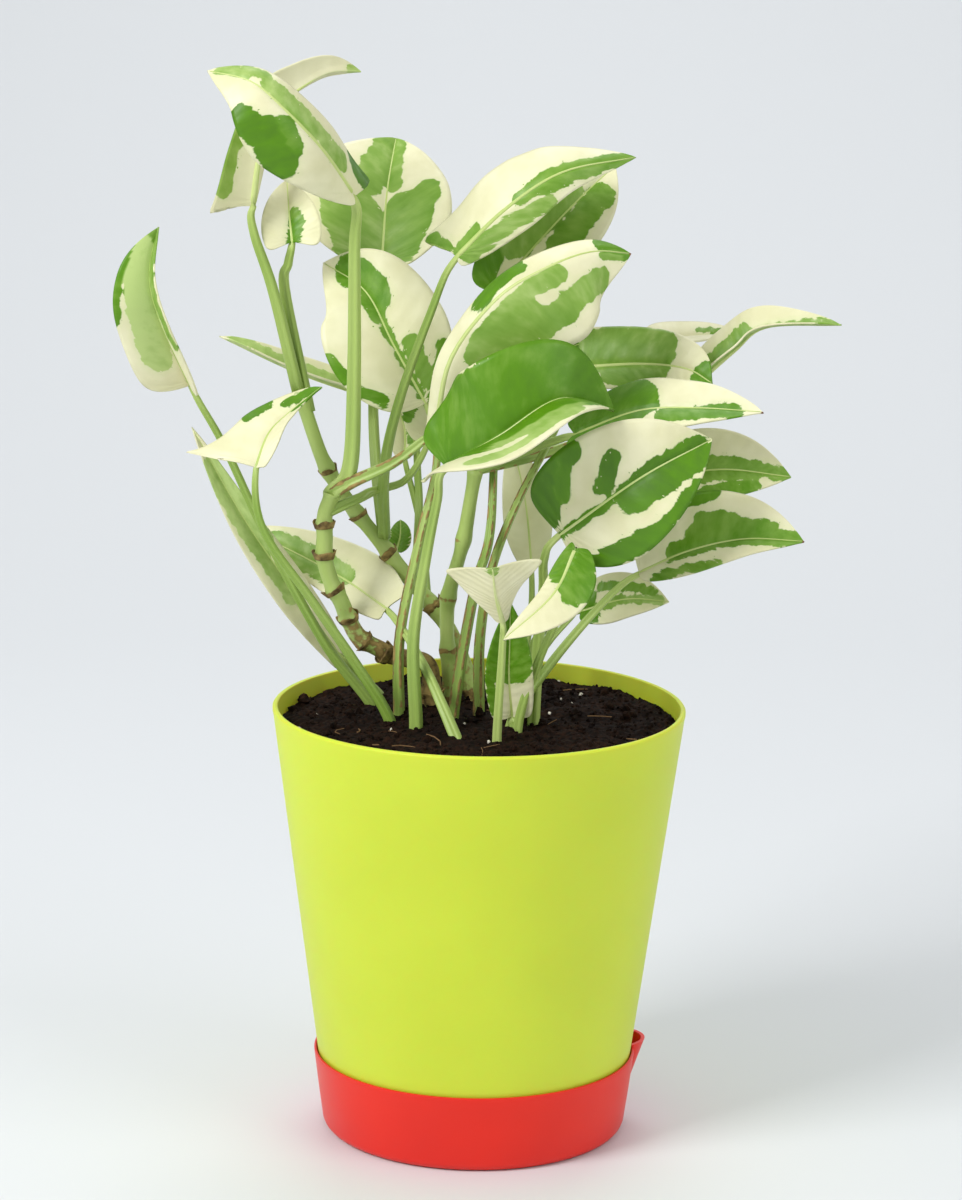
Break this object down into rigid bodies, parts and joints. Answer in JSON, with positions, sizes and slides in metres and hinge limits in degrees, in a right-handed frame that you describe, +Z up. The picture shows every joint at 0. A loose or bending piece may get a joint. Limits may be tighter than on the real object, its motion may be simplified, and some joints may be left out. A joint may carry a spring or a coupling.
{
  "type": "potted plant",
  "caption": "Potted climbing plant with heart-shaped cream and green leaves in a tapered round pot that stands in a deep saucer with a watering lip.",
  "frame": {"origin": "centre of the saucer's flat underside, where the part stands", "axes": "+Z up, +X to the right and +Y away from a viewer who faces the side that the watering lip is to the right of"},
  "size_m": [0.1971, 0.1212, 0.2963],
  "materials": {
    "saucer_plastic": "satin",
    "pot_plastic": "satin",
    "potting_soil": "matte",
    "stem": "satin",
    "leaf": "satin"
  },
  "bodies": {
    "root": {"saucer": "saucer_plastic", "pot": "pot_plastic", "soil": "potting_soil", "vine_left": "stem", "vine_back": "stem", "vine_middle": "stem", "leaf_01": "leaf", "leaf_02": "leaf", "leaf_03": "leaf", "leaf_04": "leaf", "leaf_05": "leaf", "leaf_06": "leaf", "leaf_07": "leaf", "leaf_08": "leaf", "leaf_09": "leaf", "leaf_10": "leaf", "leaf_11": "leaf", "leaf_12": "leaf", "leaf_13": "leaf", "leaf_14": "leaf", "leaf_15": "leaf", "leaf_16": "leaf", "leaf_17": "leaf", "leaf_18": "leaf", "leaf_19": "leaf", "leaf_20": "leaf", "leaf_21": "leaf", "leaf_22": "leaf", "leaf_23": "leaf", "leaf_24": "leaf", "leaf_25": "leaf", "leaf_26": "leaf", "leaf_27": "leaf", "leaf_28": "leaf", "leaf_29": "leaf", "leaf_30": "leaf"}
  },
  "joints": []
}
